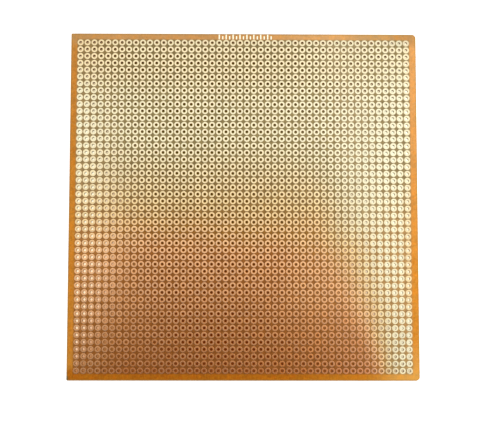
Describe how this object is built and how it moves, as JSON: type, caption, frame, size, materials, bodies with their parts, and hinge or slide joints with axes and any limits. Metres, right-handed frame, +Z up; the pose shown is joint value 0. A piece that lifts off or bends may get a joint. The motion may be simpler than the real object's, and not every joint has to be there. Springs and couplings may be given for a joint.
{
  "type": "prototype board",
  "caption": "Flat square prototype board: brown phenolic laminate drilled all over with round lead holes on a tenth-inch grid, each ringed by its own copper pad.",
  "frame": {"origin": "middle of the board's underside, on the surface that it lies on", "axes": "+Z up out of the copper side, +X along the pad rows to the board's right, +Y from the front edge to the rear edge, where the tick marks are"},
  "size_m": [0.1264, 0.1262, 0.0016],
  "materials": {
    "laminate": "satin",
    "pad_copper": "satin"
  },
  "bodies": {
    "root": {"laminate": "laminate", "edge_ticks": "pad_copper", "pad_row_01": "pad_copper", "pad_row_02": "pad_copper", "pad_row_03": "pad_copper", "pad_row_04": "pad_copper", "pad_row_05": "pad_copper", "pad_row_06": "pad_copper", "pad_row_07": "pad_copper", "pad_row_08": "pad_copper", "pad_row_09": "pad_copper", "pad_row_10": "pad_copper", "pad_row_11": "pad_copper", "pad_row_12": "pad_copper", "pad_row_13": "pad_copper", "pad_row_14": "pad_copper", "pad_row_15": "pad_copper", "pad_row_16": "pad_copper", "pad_row_17": "pad_copper", "pad_row_18": "pad_copper", "pad_row_19": "pad_copper", "pad_row_20": "pad_copper", "pad_row_21": "pad_copper", "pad_row_22": "pad_copper", "pad_row_23": "pad_copper", "pad_row_24": "pad_copper", "pad_row_25": "pad_copper", "pad_row_26": "pad_copper", "pad_row_27": "pad_copper", "pad_row_28": "pad_copper", "pad_row_29": "pad_copper", "pad_row_30": "pad_copper", "pad_row_31": "pad_copper", "pad_row_32": "pad_copper", "pad_row_33": "pad_copper", "pad_row_34": "pad_copper", "pad_row_35": "pad_copper", "pad_row_36": "pad_copper", "pad_row_37": "pad_copper", "pad_row_38": "pad_copper", "pad_row_39": "pad_copper", "pad_row_40": "pad_copper", "pad_row_41": "pad_copper", "pad_row_42": "pad_copper", "pad_row_43": "pad_copper", "pad_row_44": "pad_copper", "pad_row_45": "pad_copper", "pad_row_46": "pad_copper", "pad_row_47": "pad_copper", "pad_row_48": "pad_copper"}
  },
  "joints": []
}
